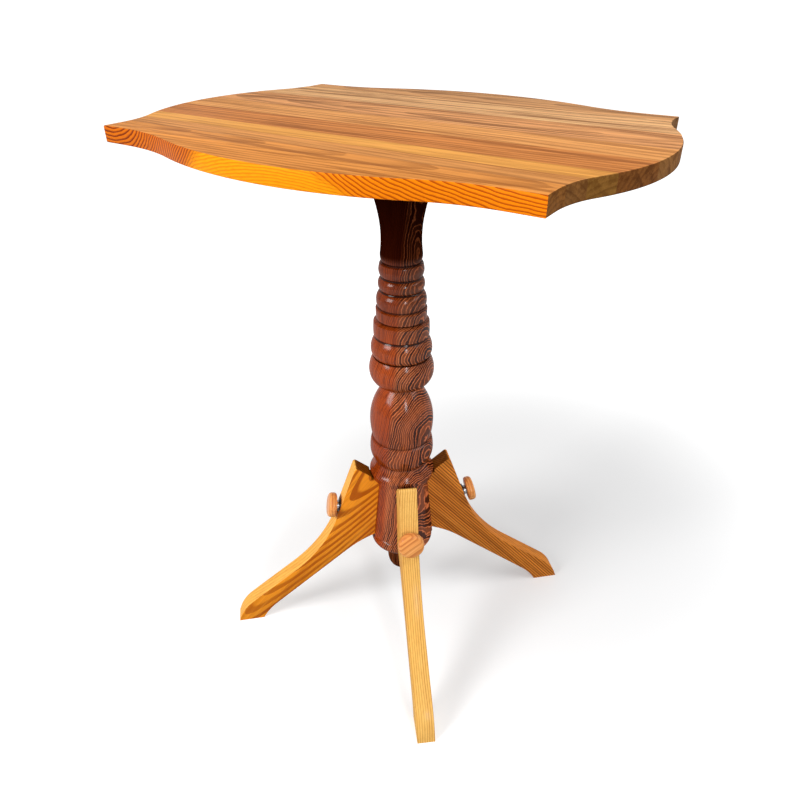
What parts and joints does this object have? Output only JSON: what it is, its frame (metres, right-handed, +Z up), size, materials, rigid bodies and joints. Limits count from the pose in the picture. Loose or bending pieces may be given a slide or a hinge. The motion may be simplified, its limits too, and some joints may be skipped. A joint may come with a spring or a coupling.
{
  "type": "pedestal side table",
  "caption": "Pedestal side table: a glued pine top with bowed sides and crisp corners on a dark turned column, with curved plank legs held by wooden-headed screws.",
  "frame": {"origin": "on the floor under the middle of the top; the column stands 4.1 mm along +X and 2.7 mm along +Y of it", "axes": "+Z up; X along the top's long sides and its grain; Y across the grain, with -Y the side that the picture looks from"},
  "size_m": [0.604, 0.466, 0.75],
  "materials": {
    "top_pine": "satin varnish",
    "leg_pine": "satin varnish",
    "knob_pine": "satin varnish",
    "plain_pine": "raw planed wood",
    "stained_wood": "gloss varnish over dark red-brown stain",
    "bright_steel": "bright plated",
    "dark_washer": "dark burnished",
    "brass_insert": "machined",
    "steel_screw": "zinc plated"
  },
  "bodies": {
    "root": {"top_stave_1": "top_pine", "top_stave_2": "top_pine", "top_stave_3": "top_pine", "top_stave_4": "top_pine", "top_stave_5": "top_pine", "top_stave_6": "top_pine", "top_stave_7": "top_pine", "top_stave_8": "top_pine", "bearer": "plain_pine", "bearer_screws": "steel_screw", "column": "stained_wood", "tenon_wedge": "plain_pine", "leg_dowels": "plain_pine", "bolt_inserts": "brass_insert", "leg_front_right": "leg_pine", "leg_back_right": "leg_pine", "leg_back_left": "leg_pine", "leg_front_left": "leg_pine"},
    "washer_slide_front_right": {"washer_front_right": "dark_washer"},
    "knob_front_right": {"knob_bolt_front_right": "bright_steel", "knob_head_front_right": "knob_pine"},
    "washer_slide_back_right": {"washer_back_right": "dark_washer"},
    "knob_back_right": {"knob_bolt_back_right": "bright_steel", "knob_head_back_right": "knob_pine"},
    "washer_slide_back_left": {"washer_back_left": "dark_washer"},
    "knob_back_left": {"knob_bolt_back_left": "bright_steel", "knob_head_back_left": "knob_pine"},
    "washer_slide_front_left": {"washer_front_left": "dark_washer"},
    "knob_front_left": {"knob_bolt_front_left": "bright_steel", "knob_head_front_left": "knob_pine"}
  },
  "joints": [
    {"name": "washer_travel_front_right", "type": "slide", "parent": "root", "child": "washer_slide_front_right", "axis": [0.6287, -0.7493, 0.2079], "range_m": [0, 0.01]},
    {"name": "knob_turn_front_right", "type": "hinge", "parent": "washer_slide_front_right", "child": "knob_front_right", "pos_m": [0.06605, -0.07113, 0.2069], "axis": [0.6287, -0.7493, 0.2079], "range_deg": [0, 2880]},
    {"name": "washer_travel_back_right", "type": "slide", "parent": "root", "child": "washer_slide_back_right", "axis": [0.7095, 0.6733, 0.2079], "range_m": [0, 0.01]},
    {"name": "knob_turn_back_right", "type": "hinge", "parent": "washer_slide_back_right", "child": "knob_back_right", "pos_m": [0.07401, 0.06904, 0.2069], "axis": [0.7095, 0.6733, 0.2079], "range_deg": [0, 2880]},
    {"name": "washer_travel_back_left", "type": "slide", "parent": "root", "child": "washer_slide_back_left", "axis": [-0.6733, 0.7095, 0.2079], "range_m": [0, 0.01]},
    {"name": "knob_turn_back_left", "type": "hinge", "parent": "washer_slide_back_left", "child": "knob_back_left", "pos_m": [-0.06224, 0.07261, 0.2069], "axis": [-0.6733, 0.7095, 0.2079], "range_deg": [0, 2880]},
    {"name": "washer_travel_front_left", "type": "slide", "parent": "root", "child": "washer_slide_front_left", "axis": [-0.7095, -0.6733, 0.2079], "range_m": [0, 0.01]},
    {"name": "knob_turn_front_left", "type": "hinge", "parent": "washer_slide_front_left", "child": "knob_front_left", "pos_m": [-0.06581, -0.06364, 0.2069], "axis": [-0.7095, -0.6733, 0.2079], "range_deg": [0, 2880]}
  ],
  "couplings": [
    {"joint": "knob_turn_front_right", "follows": "washer_travel_front_right", "rad_per_m": 5026.5},
    {"joint": "knob_turn_back_right", "follows": "washer_travel_back_right", "rad_per_m": 5026.5},
    {"joint": "knob_turn_back_left", "follows": "washer_travel_back_left", "rad_per_m": 5026.5},
    {"joint": "knob_turn_front_left", "follows": "washer_travel_front_left", "rad_per_m": 5026.5}
  ]
}
